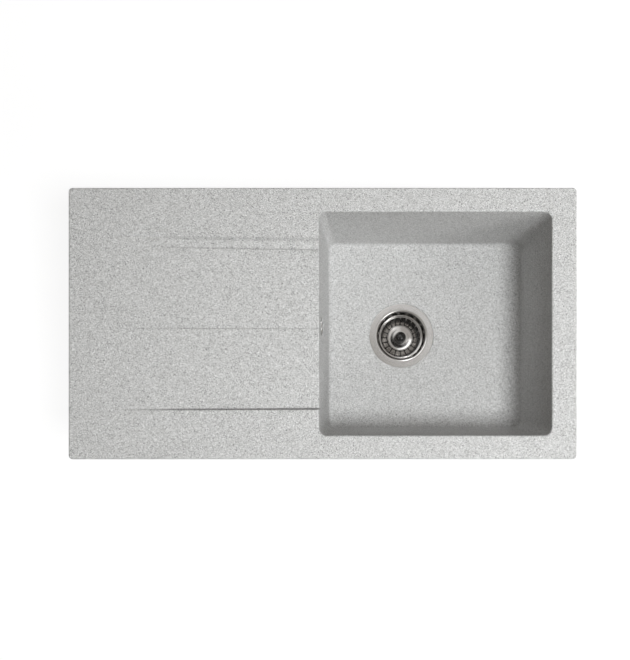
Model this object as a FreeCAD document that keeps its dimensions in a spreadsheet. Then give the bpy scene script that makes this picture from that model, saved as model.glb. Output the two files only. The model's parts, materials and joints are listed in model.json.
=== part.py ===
# Inset kitchen sink with drainboard: a cast composite sink, its basket strainer waste,
# overflow and fixing clamps. Millimetres. The origin is the middle of the sink's outline on
# the worktop's surface, +X runs to the bowl, +Y to the back and +Z up.
import FreeCAD, Part
import math
import os
import re
import Sketcher
from FreeCAD import Placement, Rotation, Vector

sizes = {
    # outline and rim
    "sink_length": 780.0,
    "sink_width": 417.0,
    "rim_height": 8.0,
    "outline_corner": 6.0,
    "rim_round": 2.5,
    # bowl
    "bowl_length": 357.6,
    "bowl_width": 343.5,
    "bowl_depth": 180.0,
    "bowl_end_rim": 38.3,
    "bowl_corner": 12.0,
    "wall_draft": 10.0,
    "bowl_floor_round": 10.0,
    "bowl_lip_round": 3.0,
    "bowl_wall": 8.5,
    "floor_thickness": 9.0,
    # drainer: three planes that deepen towards the bowl
    "drainer_margin": 49.0,
    "drainer_width": 265.2,
    "drainer_slope_run": 5.8,
    "drainer_slope_depth": 4.5,
    "drainer_riser_run": 3.0,
    "drainer_depth": 5.2,
    "drainer_step": 1.0,
    "drainer_back_step": 19.5,
    "drainer_step_fan": 4.5,
    "drainer_middle_step": 140.1,
    "drainer_lip_round": 2.2,
    "drainer_feather": 0.05,
    "drainer_tip_run": 0.02,
    "drainer_tip_lift": 0.01,
    # underside
    "pan_thickness": 6.0,
    "pan_edge": 9.0,
    "rib_height": 9.0,
    "rib_width": 6.0,
    "rib_spacing": 140.0,
    "seal_width": 6.0,
    "seal_height": 2.0,
    "seal_inset": 2.5,
    "tap_hole_radius": 17.5,
    "tap_hole_skin": 3.0,
    "tap_boss_wall": 4.5,
    "tap_boss_height": 4.0,
    "tap_from_bowl": 49.0,
    "tap_from_edge": 37.5,
    # fixing clamps
    "clamp_inset": 19.0,
    "clamp_from_end": 90.0,
    "clamp_from_shell": 9.5,
    "boss_radius": 7.0,
    "boss_height": 22.0,
    "dowel_radius": 4.0,
    "dowel_length": 19.0,
    "clamp_screw_radius": 2.5,
    "clamp_screw_tip": 5.0,
    "screw_head_radius": 5.0,
    "screw_head_height": 3.2,
    "worktop_thickness": 30.0,
    "clamp_sheet": 2.0,
    "clamp_width": 13.0,
    "clamp_heel": 6.5,
    "clamp_reach": 17.0,
    "clamp_tip": 4.0,
    "clamp_rise": 4.0,
    "clamp_head_room": 1.5,
    # strainer waste
    "waste_offset": 40.4,
    "flange_radius": 56.5,
    "recess_clearance": 0.5,
    "cup_sheet": 1.0,
    "cup_radius": 42.0,
    "cup_depth": 46.0,
    "mouth_roll": 4.0,
    "well_radius": 9.0,
    "well_depth": 12.0,
    "cup_hole_radius": 5.5,
    "cup_hole_circle": 22.0,
    "cup_hole_count": 6.0,
    "flange_gasket_height": 1.0,
    "floor_gasket_height": 3.0,
    "gasket_width": 8.0,
    "gasket_inset": 1.0,
    "drain_hole_clearance": 3.0,
    "drain_boss_height": 3.0,
    "centre_screw_radius": 3.0,
    "centre_head_radius": 6.5,
    "centre_head_height": 11.0,
    "socket_depth": 9.0,
    "nut_flats": 10.0,
    "nut_height": 5.0,
    "screw_tail": 1.0,
    # moulded waste body
    "body_wall": 3.0,
    "body_gap": 2.5,
    "body_flange_height": 4.0,
    "body_flange_inset": 1.5,
    "body_straight": 50.0,
    "body_cone": 25.0,
    "outlet_radius": 23.9,
    "outlet_wall": 3.9,
    "outlet_length": 28.0,
    "web_height": 10.0,
    "web_drop": 2.0,
    "web_boss_drop": 2.0,
    "web_boss_radius": 8.0,
    "web_boss_height": 16.0,
    "branch_length": 70.0,
    "branch_drop": 50.0,
    # basket
    "basket_radius": 39.4,
    "basket_sheet": 0.8,
    "basket_rim_width": 2.6,
    "basket_rim_drop": 17.0,
    "basket_rim_bead": 2.4,
    "basket_foot_radius": 23.2,
    "basket_foot_drop": 38.0,
    "basket_dish": 2.6,
    "dish_landing": 8.0,
    "slot_count": 20.0,
    "slot_width": 1.3,
    "slot_end": 1.2,
    "seal_ring_radius": 34.0,
    "seal_ring_bore": 21.0,
    "seal_ring_bevel": 2.0,
    "washer_height": 1.6,
    "stem_radius": 4.0,
    "stem_tip_radius": 3.2,
    "stem_tip_length": 11.0,
    "stem_flange": 2.0,
    "stem_flange_height": 1.0,
    "knob_radius": 9.8,
    "knob_collar_radius": 6.5,
    "knob_band": 8.0,
    "knob_crown_radius": 5.5,
    "knob_crown": 5.0,
    "knob_centre_drop": 25.5,
    # overflow
    "overflow_drop": 50.0,
    "overflow_hole_radius": 12.5,
    "rosette_radius": 15.0,
    "rosette_height": 2.4,
    "rosette_hole_radius": 2.4,
    "rosette_hole_circle": 8.8,
    "rosette_hole_count": 5.0,
    "overflow_screw_radius": 2.4,
    "overflow_screw_length": 34.0,
    "overflow_head_radius": 4.4,
    "overflow_head_height": 1.6,
    "overflow_gasket_height": 3.0,
    "elbow_flange_radius": 23.0,
    "elbow_flange_height": 3.0,
    "elbow_reach": 15.0,
    "socket_wall": 2.7,
    "elbow_drop": 38.0,
    "elbow_boss_radius": 5.0,
    "pipe_radius": 10.0,
    "pipe_wall": 1.6,
    "pipe_bend": 26.0,
    "pipe_insertion": 14.0,
    "slip_nut_wall": 3.5,
    "slip_nut_length": 16.0,
    "slip_nut_flutes": 8.0,
    "flute_radius": 3.0,
    "sealing_ring_height": 3.5,
    # running and seating clearances, and how far a cut starts clear of the solid or a rib inside it
    "close_fit": 0.05,
    "loose_fit": 0.3,
    "overshoot": 1.0,
}

# Places worked out from the sizes; each is a formula over the names above.
floor_level = "(rim_height - bowl_depth)"
bowl_right = "(sink_length / 2 - bowl_end_rim)"
bowl_left = f"({bowl_right} - bowl_length)"
bowl_middle = f"({bowl_right} - bowl_length / 2)"
waste_x = f"({bowl_middle} - waste_offset)"
drainer_left = "(-sink_length / 2 + drainer_margin)"
drainer_half = "(drainer_width / 2)"
floor_underside = f"({floor_level} - floor_thickness)"
recess_depth = "(cup_sheet + flange_gasket_height)"
drain_hole_radius = "(cup_radius + cup_sheet + drain_hole_clearance)"
seat_level = f"({floor_level} - cup_depth)"
body_top = f"({floor_underside} - drain_boss_height - floor_gasket_height)"
body_inner_radius = "(cup_radius + cup_sheet + body_gap)"
cone_level = f"({body_top} - body_straight)"
outlet_top = f"({cone_level} - body_cone)"
outlet_bottom = f"({outlet_top} - outlet_length)"
branch_level = f"({floor_level} - branch_drop)"
socket_radius = "(pipe_radius + loose_fit)"
overflow_level = "(rim_height - overflow_drop)"
overflow_wall_x = f"({bowl_left} + wall_draft * overflow_drop / bowl_depth)"
wall_tilt = "(atan(wall_draft / bowl_depth))"
elbow_back = "(bowl_wall + overflow_gasket_height + elbow_flange_height + elbow_reach)"
pipe_x = f"({overflow_wall_x} - {elbow_back} * cos{wall_tilt})"
elbow_level = f"({overflow_level} - {elbow_back} * sin{wall_tilt})"
elbow_mouth = f"({elbow_level} - elbow_drop)"
clamp_level = "(-(worktop_thickness + clamp_rise + clamp_sheet))"
web_level = f"({outlet_top} - web_drop - web_height)"
web_foot = f"({web_level} - web_boss_drop)"
body_flange_radius = "(flange_radius - body_flange_inset)"

doc = FreeCAD.newDocument("KitchenSink")
sheet = doc.addObject("Spreadsheet::Sheet", "Sizes")
for row, (alias, number) in enumerate(sizes.items(), start=1):
    sheet.set(f"A{row}", alias)
    sheet.set(f"B{row}", str(number))
    sheet.setAlias(f"B{row}", alias)
doc.recompute()

parts = []


def value(formula):
    """The number that a formula over the sheet's names gives now."""
    result = sheet.evalExpression(formula)
    return float(getattr(result, "Value", result))


def bound(formula):
    """The same formula as an expression that other objects can hold."""
    return re.sub(r"[a-z_]+", lambda word: f"Sizes.{word[0]}" if word[0] in sizes else word[0], formula)


def close_to(number, formula):
    return abs(number - value(formula)) < 0.01


def drive(thing, **formulas):
    """Bind properties to formulas; a double underscore stands for a dot."""
    for name, formula in formulas.items():
        thing.setExpression(name.replace("__", "."), bound(formula))
    return thing


def part(thing, label):
    """Register a finished sub-part under the name of its file."""
    thing.Label = label
    parts.append(thing)
    return thing


def new_body(name):
    return doc.addObject("PartDesign::Body", name)


def new_sketch(body, name, plane="XY_Plane", level=None):
    """A sketch on one of the body's own origin planes, lifted to a level."""
    sketch = body.newObject("Sketcher::SketchObject", name)
    origin_plane = next(item for item in body.Origin.OriginFeatures if item.Role == plane)
    sketch.AttachmentSupport = [(origin_plane, "")]
    sketch.MapMode = "FlatFace"
    if level:
        drive(sketch, AttachmentOffset__Base__z=level)
    return sketch


def pin_point(sketch, edge, end, x, y):
    """Hold one end of an edge at two formulas from the sketch's origin."""
    for kind, formula in (("DistanceX", x), ("DistanceY", y)):
        index = sketch.addConstraint(Sketcher.Constraint(kind, -1, 1, edge, end, value(formula)))
        drive(sketch, **{f"Constraints[{index}]": formula})


def outline(sketch, points):
    """A closed outline through formulas (x, y); (x, y, radius) starts an arc, whose sign bends it."""
    places = [Vector(value(point[0]), value(point[1]), 0) for point in points]
    first = sketch.GeometryCount
    count = len(points)
    for step, point in enumerate(points):
        start = places[step]
        end = places[(step + 1) % count]
        if len(point) == 2:
            sketch.addGeometry(Part.LineSegment(start, end), False)
            continue
        radius = value(point[2])
        chord = end - start
        sag = abs(radius) - (radius ** 2 - (chord.Length / 2) ** 2) ** 0.5
        side = Vector(chord.y, -chord.x, 0).normalize() * (sag if radius > 0 else -sag)
        first_end, last_end = (start, end) if radius > 0 else (end, start)
        sketch.addGeometry(Part.Arc(first_end, (start + end) / 2 + side, last_end), False)
    for step, point in enumerate(points):
        edge = first + step
        following = first + (step + 1) % count
        corner = places[(step + 1) % count]
        sketch.addConstraint(Sketcher.Constraint("Coincident", edge, end_at(sketch, edge, corner),
                                                 following, end_at(sketch, following, corner)))
        pin_point(sketch, edge, end_at(sketch, edge, places[step]), point[0], point[1])
        if len(point) == 3:
            index = sketch.addConstraint(Sketcher.Constraint("Radius", edge, abs(value(point[2]))))
            drive(sketch, **{f"Constraints[{index}]": f"abs({point[2]})"})


def end_at(sketch, edge, place):
    """1 for an edge's start or 2 for its end, whichever lies at a place."""
    geometry = sketch.Geometry[edge]
    return 1 if geometry.StartPoint.distanceToPoint(place) < geometry.EndPoint.distanceToPoint(place) else 2


def circle(sketch, x, y, radius):
    place = Vector(value(x), value(y), 0)
    edge = sketch.addGeometry(Part.Circle(place, Vector(0, 0, 1), value(radius)), False)
    pin_point(sketch, edge, 3, x, y)
    index = sketch.addConstraint(Sketcher.Constraint("Radius", edge, value(radius)))
    drive(sketch, **{f"Constraints[{index}]": radius})


def rectangle(sketch, left, right, front, back):
    outline(sketch, [(left, front), (right, front), (right, back), (left, back)])


def rounded_rectangle(sketch, left, right, front, back, corner):
    """Four lines joined by four tangent arcs of one radius."""
    x0, x1, y0, y1, r = [value(formula) for formula in (left, right, front, back, corner)]
    first = sketch.GeometryCount
    lines = [((x0 + r, y0), (x1 - r, y0)), ((x1, y0 + r), (x1, y1 - r)),
             ((x1 - r, y1), (x0 + r, y1)), ((x0, y1 - r), (x0, y0 + r))]
    centres = [(x1 - r, y0 + r, -90), (x1 - r, y1 - r, 0), (x0 + r, y1 - r, 90), (x0 + r, y0 + r, 180)]
    for (start, end), (cx, cy, angle) in zip(lines, centres):
        sketch.addGeometry(Part.LineSegment(Vector(*start, 0), Vector(*end, 0)), False)
        whole = Part.Circle(Vector(cx, cy, 0), Vector(0, 0, 1), r)
        sketch.addGeometry(Part.ArcOfCircle(whole, math.radians(angle), math.radians(angle + 90)), False)
    for step in range(8):
        sketch.addConstraint(Sketcher.Constraint("Tangent", first + step, 2, first + (step + 1) % 8, 1))
    sides = [("Y", 0, front), ("X", 2, right), ("Y", 4, back), ("X", 6, left)]
    for axis, step, formula in sides:
        kind = f"Distance{axis}"
        straight = "Horizontal" if axis == "Y" else "Vertical"
        sketch.addConstraint(Sketcher.Constraint(straight, first + step))
        index = sketch.addConstraint(Sketcher.Constraint(kind, -1, 1, first + step, 1, value(formula)))
        drive(sketch, **{f"Constraints[{index}]": formula})
    for step in (1, 3, 5, 7):
        index = sketch.addConstraint(Sketcher.Constraint("Radius", first + step, r))
        drive(sketch, **{f"Constraints[{index}]": corner})


def extrude(body, kind, sketch, length, name, upwards):
    """A Pad or Pocket along +Z or -Z."""
    feature = body.newObject(f"PartDesign::{kind}", name)
    feature.Profile = sketch
    feature.Reversed = upwards == (kind == "Pocket")
    drive(feature, Length=length)
    doc.recompute()
    return feature


def loft(body, kind, sketches, name):
    feature = body.newObject(f"PartDesign::{kind}Loft", name)
    feature.Profile = sketches[0]
    feature.Sections = sketches[1:]
    feature.Ruled = True
    doc.recompute()
    return feature


def revolve(body, sketch, name="Turned"):
    feature = body.newObject("PartDesign::Revolution", name)
    feature.Profile = sketch
    feature.ReferenceAxis = (sketch, ["V_Axis"])
    feature.Angle = 360
    doc.recompute()
    return feature


def dress_edges(body, kind, name, size, chosen):
    """Fillet or chamfer every edge of the body's newest feature that the test chooses."""
    base = body.Tip
    names = [f"Edge{number}" for number, edge in enumerate(base.Shape.Edges, start=1) if chosen(edge)]
    feature = body.newObject(f"PartDesign::{kind}", name)
    feature.Base = (base, names)
    drive(feature, **{"Radius" if kind == "Fillet" else "Size": size})
    doc.recompute()
    return feature


def polar(body, features, count, name):
    """Repeat features evenly about the body's own Z axis."""
    pattern = body.newObject("PartDesign::PolarPattern", name)
    pattern.Originals = features
    axis = next(item for item in body.Origin.OriginFeatures if item.Role == "Z_Axis")
    pattern.Axis = (axis, [""])
    pattern.Angle = 360
    drive(pattern, Occurrences=count)
    body.Tip = pattern
    doc.recompute()
    return pattern


def turned(label, points, x=waste_x):
    """A body of revolution about the vertical at x."""
    body = new_body(label)
    outline(new_sketch(body, f"{label}_profile", "XZ_Plane"), points)
    revolve(body, body.Group[-1])
    if x:
        drive(body, Placement__Base__x=x)
    return part(body, label)


def ring(label, inner, outer, bottom, height, x=waste_x):
    """A flat ring such as a gasket."""
    top = f"({bottom} + {height})"
    return turned(label, [(inner, bottom), (outer, bottom), (outer, top), (inner, top)], x=x)


def cylinder(name, radius, height, x="0", z="0"):
    return drive(doc.addObject("Part::Cylinder", name), Radius=radius, Height=height,
                 Placement__Base__x=x, Placement__Base__z=z)


def combine(kind, name, first, *others):
    """Part::Cut of one tool, or Part::MultiFuse of several shapes."""
    if kind == "Cut":
        result = doc.addObject("Part::Cut", name)
        result.Base = first
        result.Tool = others[0]
    else:
        result = doc.addObject("Part::MultiFuse", name)
        result.Shapes = [first, *others]
        result.Refine = True
    return result


def on_wall(thing):
    """Set a piece on the bowl's left wall: its own Z leaves the wall into the bowl."""
    thing.Placement = Placement(Vector(), Rotation(Vector(0, 1, 0), 90))
    return drive(thing, Placement__Base__x=overflow_wall_x, Placement__Base__z=overflow_level,
                 Placement__Rotation__Angle=f"90 deg - {wall_tilt}")


def clamp_places():
    """Name, x, y and outward angle of each fixing clamp; those of the long sides keep clear of the bowl."""
    end = "(sink_length / 2 - clamp_inset)"
    side = "(sink_width / 2 - clamp_inset)"
    columns = {"left": "(clamp_from_end - sink_length / 2)",
               "middle": f"({bowl_left} - bowl_wall - clamp_from_shell)",
               "right": end}
    for row, sign, angle in (("back", "", 90), ("front", "-", -90)):
        for column, x in columns.items():
            yield f"clamp_{row}_{column}", x, f"{sign}{side}", angle
    yield "clamp_left_end", f"-{end}", "0", 180
    yield "clamp_right_end", end, "0", 0


def bowl_rectangle(wall):
    """Draws the bowl's outline at the rim, square at the corners, let out by a wall."""
    def draw(sketch):
        rectangle(sketch, f"{bowl_left} - {wall}", f"{bowl_right} + {wall}",
                  f"-bowl_width / 2 - {wall}", f"bowl_width / 2 + {wall}")
    return draw


def drainer_section(body, name, x, run_share, depth_share):
    """The saw-tooth across the drainer at x; the shares scale its steps' widths and depths."""
    sketch = new_sketch(body, name, "YZ_Plane", x)
    back_step = f"({drainer_half} - drainer_back_step + (1 - {run_share}) * drainer_step_fan)"
    middle_step = f"({drainer_half} - drainer_middle_step)"
    half_step = f"{run_share} * drainer_step / 2"
    brim = "rim_height + drainer_feather"

    def level(depth):
        return f"rim_height - {depth_share} * ({depth})"

    outline(sketch, [
        (drainer_half, "2 * rim_height"),
        (drainer_half, brim),
        (f"{drainer_half} - {run_share} * drainer_slope_run", level("drainer_slope_depth")),
        (f"{back_step} + {half_step}", level("drainer_slope_depth + drainer_step / 4")),
        (f"{back_step} - {half_step}", level("drainer_depth - drainer_step * 3 / 2")),
        (f"{middle_step} + {half_step}", level("drainer_depth - drainer_step / 4")),
        (f"{middle_step} - {half_step}", level("drainer_depth - drainer_step * 5 / 4")),
        (f"-{drainer_half} + {run_share} * drainer_riser_run", level("drainer_depth")),
        (f"-{drainer_half}", brim),
        (f"-{drainer_half}", "2 * rim_height"),
    ])
    return sketch


def vertical_cut(body, name, level, depth, upwards, draw):
    """A pocket from a level, up or down, of whatever the draw function puts in its sketch."""
    sketch = new_sketch(body, f"{name}_sketch", level=level)
    draw(sketch)
    return extrude(body, "Pocket", sketch, depth, name, upwards)


def vertical_pad(body, name, level, height, upwards, draw):
    sketch = new_sketch(body, f"{name}_sketch", level=level)
    draw(sketch)
    return extrude(body, "Pad", sketch, height, name, upwards)


def steep(item):
    return item.BoundBox.ZLength > value("bowl_depth") * 0.9


def inside(item):
    """Whether a face or an edge belongs to the bowl's hollow and not to its outer shell."""
    middle = item.BoundBox.Center
    return (value(bowl_left) - 0.1 < middle.x < value(bowl_right) + 0.1
            and abs(middle.y) < value("bowl_width / 2") + 0.1)


def draft_walls(body, name, outer):
    """Lean the bowl's inner or outer walls in towards its floor about the deck's top face."""
    base = body.Tip
    faces = {f"Face{number}": face for number, face in enumerate(base.Shape.Faces, start=1)}
    draft = body.newObject("PartDesign::Draft", name)
    draft.Base = (base, [label for label, face in faces.items() if steep(face) and inside(face) != outer])
    draft.NeutralPlane = (base, [next(label for label, face in faces.items() if (
        close_to(face.BoundBox.ZMin, "rim_height")))])
    draft.Reversed = outer
    drive(draft, Angle=wall_tilt)
    doc.recompute()


def outline_at(inset, corner):
    """Draws the sink's own outline, drawn in by an inset."""
    def draw(sketch):
        rounded_rectangle(sketch, f"-sink_length / 2 + ({inset})", f"sink_length / 2 - ({inset})",
                          f"-sink_width / 2 + ({inset})", f"sink_width / 2 - ({inset})", corner)
    return draw


def circles_at(places, radius):
    def draw(sketch):
        for x, y in places:
            circle(sketch, x, y, radius)
    return draw


def make_sink_body():
    """The cast shell: deck, bowl, drainer and everything moulded on the underside."""
    body = new_body("sink_body")
    clamp_points = [(x, y) for _, x, y, _ in clamp_places()]
    tap_x = f"({bowl_left} - tap_from_bowl)"
    tap_y = "(sink_width / 2 - tap_from_edge)"
    tap_points = [(tap_x, tap_y), (tap_x, f"-{tap_y}")]
    waste_point = [(waste_x, "0")]

    vertical_pad(body, "deck", "0", "rim_height", True, outline_at("0", "outline_corner"))
    dress_edges(body, "Fillet", "rim_edge", "rim_round",
                lambda edge: close_to(edge.BoundBox.ZMin, "rim_height"))

    vertical_pad(body, "bowl_shell", "rim_height", "bowl_depth + floor_thickness", False,
                 bowl_rectangle("bowl_wall"))
    vertical_cut(body, "bowl_hollow", "rim_height", "bowl_depth", False, bowl_rectangle("0"))
    draft_walls(body, "hollow_draft", False)
    draft_walls(body, "shell_draft", True)
    dress_edges(body, "Fillet", "shell_corners", "bowl_corner + bowl_wall",
                lambda edge: steep(edge) and not inside(edge))
    dress_edges(body, "Fillet", "bowl_corners", "bowl_corner", lambda edge: steep(edge) and inside(edge))
    dress_edges(body, "Chamfer", "shell_foot_edge", "bowl_floor_round",
                lambda edge: close_to(edge.BoundBox.ZMax, floor_underside))
    dress_edges(body, "Fillet", "bowl_floor_edge", "bowl_floor_round",
                lambda edge: close_to(edge.BoundBox.ZMax, floor_level))
    dress_edges(body, "Fillet", "bowl_lip", "bowl_lip_round",
                lambda edge: close_to(edge.BoundBox.ZMin, "rim_height") and inside(edge))
    vertical_pad(body, "drain_boss", f"{floor_underside} + overshoot", "drain_boss_height + overshoot", False,
                 circles_at(waste_point, "flange_radius"))

    def pan(sketch):
        rectangle(sketch, f"{drainer_left} - pan_edge", f"{bowl_left} - bowl_wall / 2",
                  f"-{drainer_half} - pan_edge", f"{drainer_half} + pan_edge")
    vertical_pad(body, "drainer_pan", "overshoot", "pan_thickness + overshoot", False, pan)

    def ribs(sketch):
        for y in ("-rib_spacing / 2", "rib_spacing / 2"):
            rectangle(sketch, f"{drainer_left}", f"{bowl_left} - bowl_wall / 2",
                      f"{y} - rib_width / 2", f"{y} + rib_width / 2")
    vertical_pad(body, "long_ribs", "overshoot - pan_thickness", "rib_height + overshoot", False, ribs)

    def cross_ribs(sketch):
        for step in (0.5, 1.5):
            x = f"({bowl_left} - {step} * rib_spacing - rib_width)"
            rectangle(sketch, f"{x} - rib_width / 2", f"{x} + rib_width / 2",
                      f"-{drainer_half}", drainer_half)
    vertical_pad(body, "cross_ribs", "overshoot - pan_thickness", "rib_height + overshoot", False, cross_ribs)
    vertical_pad(body, "screw_bosses", "overshoot", "boss_height + overshoot", False,
                 circles_at(clamp_points, "boss_radius"))
    vertical_pad(body, "tap_bosses", "overshoot", "tap_boss_height + overshoot", False,
                 circles_at(tap_points, "tap_hole_radius + tap_boss_wall"))

    # The steps run out to almost nothing at the left and on past the bowl's lip at the right.
    beyond_lip = f"(1 + bowl_corner / ({bowl_left} - {drainer_left}))"
    tip = drainer_section(body, "drainer_left_end", drainer_left, "drainer_tip_run", "(-drainer_tip_lift)")
    lip = drainer_section(body, "drainer_lip_end", f"({bowl_left} + bowl_corner)", beyond_lip, beyond_lip)
    loft(body, "Subtractive", [tip, lip], "drainer_planes")
    dress_edges(body, "Fillet", "drainer_lip", "drainer_lip_round", lambda edge: (
        abs(edge.BoundBox.XMin - value(bowl_left)) < 1 and edge.BoundBox.XLength < 0.5
        and 0 < edge.BoundBox.ZMin and edge.BoundBox.ZMax < value("rim_height - drainer_depth / 2")
        and edge.BoundBox.YMax < value(f"{drainer_half} - drainer_slope_run") + 0.5
        and edge.BoundBox.YMin > value(f"drainer_riser_run - {drainer_half}") - 0.5))

    vertical_cut(body, "flange_recess", f"{floor_level} + overshoot", f"{recess_depth} + overshoot", False,
                 circles_at(waste_point, "flange_radius + recess_clearance"))
    vertical_cut(body, "drain_hole", floor_level, "2 * floor_thickness + drain_boss_height", False,
                 circles_at(waste_point, drain_hole_radius))
    vertical_cut(body, "tap_knock_outs", "-tap_boss_height - overshoot",
                 "rim_height + tap_boss_height + overshoot - tap_hole_skin", True,
                 circles_at(tap_points, "tap_hole_radius"))
    vertical_cut(body, "dowel_holes", "-boss_height - overshoot", "dowel_length + close_fit + overshoot",
                 True, circles_at(clamp_points, "dowel_radius + close_fit"))

    def groove(sketch):
        outline_at("seal_inset", "outline_corner - seal_inset")(sketch)
        outline_at("seal_inset + seal_width", "outline_corner - seal_inset")(sketch)
    vertical_cut(body, "seal_groove", "0", "seal_height", True, groove)

    hole_sketch = new_sketch(body, "overflow_hole_sketch", "YZ_Plane")
    hole_sketch.AttachmentOffset = Placement(Vector(), Rotation(Vector(-1, 0, 0), 1))
    drive(hole_sketch, AttachmentOffset__Base__y=overflow_level, AttachmentOffset__Base__z=overflow_wall_x,
          AttachmentOffset__Rotation__Angle=wall_tilt)
    circle(hole_sketch, "0", "0", "overflow_hole_radius")
    hole = body.newObject("PartDesign::Pocket", "overflow_hole")
    hole.Profile = hole_sketch
    hole.Midplane = True
    drive(hole, Length="4 * bowl_wall")
    doc.recompute()
    return part(body, "sink_body")


def make_rim_seal():
    """The foam strip that fills the groove under the rim."""
    def strip(sketch):
        outline_at("seal_inset + close_fit", "outline_corner - seal_inset")(sketch)
        outline_at("seal_inset + seal_width - close_fit", "outline_corner - seal_inset")(sketch)
    body = new_body("rim_seal")
    vertical_pad(body, "seal_strip", "0", "seal_height", True, strip)
    part(body, "rim_seal")


def make_strainer_bowl():
    """The pressed steel cup: a flange, a rolled mouth, a flat seat with holes and a centre well."""
    roll_middle = "(mouth_roll * (1 - cos(45)))"
    cup = turned("strainer_bowl", [
        ("flange_radius", floor_level),
        ("cup_radius + mouth_roll", floor_level),
        (f"cup_radius + {roll_middle}", f"{floor_level} - {roll_middle}"),
        ("cup_radius", f"{floor_level} - mouth_roll"),
        ("cup_radius", f"{seat_level} + cup_sheet"),
        ("well_radius", f"{seat_level} + cup_sheet"),
        ("well_radius", f"{seat_level} - well_depth + cup_sheet"),
        ("centre_screw_radius + close_fit", f"{seat_level} - well_depth + cup_sheet"),
        ("centre_screw_radius + close_fit", f"{seat_level} - well_depth"),
        ("well_radius + cup_sheet", f"{seat_level} - well_depth"),
        ("well_radius + cup_sheet", seat_level),
        ("cup_radius + cup_sheet", seat_level),
        ("cup_radius + cup_sheet", f"{floor_level} - mouth_roll"),
        ("cup_radius + mouth_roll", f"{floor_level} - cup_sheet"),
        ("flange_radius", f"{floor_level} - cup_sheet"),
    ])
    hole = vertical_cut(cup, "drain_slot", f"{seat_level} + 2 * cup_sheet", "4 * cup_sheet", False,
                        circles_at([("cup_hole_circle", "0")], "cup_hole_radius"))
    polar(cup, [hole], "cup_hole_count", "drain_holes")


def make_waste_body():
    """The moulded body under the bowl: flange, cone, outlet, web for the nut and overflow branch."""
    shell = new_body("waste_shell")
    outline(new_sketch(shell, "waste_shell_profile", "XZ_Plane"), [
        (body_inner_radius, body_top),
        (body_flange_radius, body_top),
        (body_flange_radius, f"{body_top} - body_flange_height"),
        (f"{body_inner_radius} + body_wall", f"{body_top} - body_flange_height"),
        (f"{body_inner_radius} + body_wall", cone_level),
        ("outlet_radius", outlet_top),
        ("outlet_radius", outlet_bottom),
        ("outlet_radius - outlet_wall", outlet_bottom),
        ("outlet_radius - outlet_wall", outlet_top),
        (body_inner_radius, cone_level),
    ])
    revolve(shell, shell.Group[-1], "waste_shell_turned")

    def arms(sketch):
        reach = "(outlet_radius - outlet_wall / 2)"
        half = "(body_wall / 2)"
        outline(sketch, [(reach, f"-{half}"), (reach, half), (half, half),
                         (half, reach), (f"-{half}", reach), (f"-{half}", half),
                         (f"-{reach}", half), (f"-{reach}", f"-{half}"), (f"-{half}", f"-{half}"),
                         (f"-{half}", f"-{reach}"), (half, f"-{reach}"), (half, f"-{half}")])
    vertical_pad(shell, "web_arms", web_level, "web_height", True, arms)
    vertical_pad(shell, "web_boss", web_foot, "web_boss_height", True,
                 circles_at([("0", "0")], "web_boss_radius"))
    vertical_cut(shell, "web_bore", f"{web_foot} - overshoot", "web_boss_height + 2 * overshoot", True,
                 circles_at([("0", "0")], "centre_screw_radius + close_fit"))

    def nut_pocket(sketch):
        hexagon(sketch, "nut_flats / 2 + close_fit")
    vertical_cut(shell, "nut_pocket", f"{web_foot} - overshoot", "nut_height + overshoot", True, nut_pocket)
    drive(shell, Placement__Base__x=waste_x)

    branch_left = f"({waste_x} - branch_length)"
    branch_inside = "(branch_length - outlet_radius)"
    tube = lying_cylinder("branch_tube", f"{socket_radius} + socket_wall", branch_inside, branch_left,
                          branch_level)
    bore = lying_cylinder("branch_bore", socket_radius, f"{branch_inside} + body_wall",
                          f"({branch_left} - overshoot)", branch_level)
    inside = cylinder("waste_inside", body_inner_radius, "body_straight", waste_x, cone_level)
    cone = drive(doc.addObject("Part::Cone", "waste_cone"), Radius1="outlet_radius - outlet_wall",
                 Radius2=body_inner_radius, Height="body_cone", Placement__Base__x=waste_x,
                 Placement__Base__z=outlet_top)
    outside_tube = combine("Cut", "branch_outside", tube, combine("Fuse", "waste_hollow", inside, cone))
    whole = combine("Fuse", "waste_body_solid", shell, outside_tube)
    part(combine("Cut", "waste_body", whole, bore), "waste_body")
    doc.recompute()


def hexagon(sketch, inner_radius):
    """A hexagon by the radius of the circle inside it."""
    corner = f"({inner_radius}) / cos(30)"
    half = f"{corner} / 2"
    outline(sketch, [(corner, "0"), (half, inner_radius), (f"-{half}", inner_radius), (f"-{corner}", "0"),
                     (f"-{half}", f"-({inner_radius})"), (half, f"-({inner_radius})")])


def lying_cylinder(name, radius, height, x, z):
    """A cylinder that runs along +X from a point."""
    thing = cylinder(name, radius, height, x, z)
    thing.Placement = Placement(thing.Placement.Base, Rotation(Vector(0, 1, 0), 90))
    return thing


def make_centre_screw():
    """The hollow-headed screw in the cup's well, and the nut captive under the web."""
    head_foot = f"({seat_level} - well_depth + cup_sheet)"
    head_top = f"({head_foot} + centre_head_height)"
    socket = "stem_tip_radius + close_fit"
    turned("waste_screw", [
        ("0", f"{web_foot} - screw_tail"),
        ("centre_screw_radius", f"{web_foot} - screw_tail"),
        ("centre_screw_radius", head_foot),
        ("centre_head_radius", head_foot),
        ("centre_head_radius", head_top),
        (socket, head_top),
        (socket, f"{head_top} - socket_depth"),
        ("0", f"{head_top} - socket_depth"),
    ])
    nut = new_body("waste_nut")

    def flats(sketch):
        hexagon(sketch, "nut_flats / 2")
        circle(sketch, "0", "0", "centre_screw_radius + close_fit")
    vertical_pad(nut, "nut_block", web_foot, "nut_height", True, flats)
    drive(nut, Placement__Base__x=waste_x)
    part(nut, "waste_nut")


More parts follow.
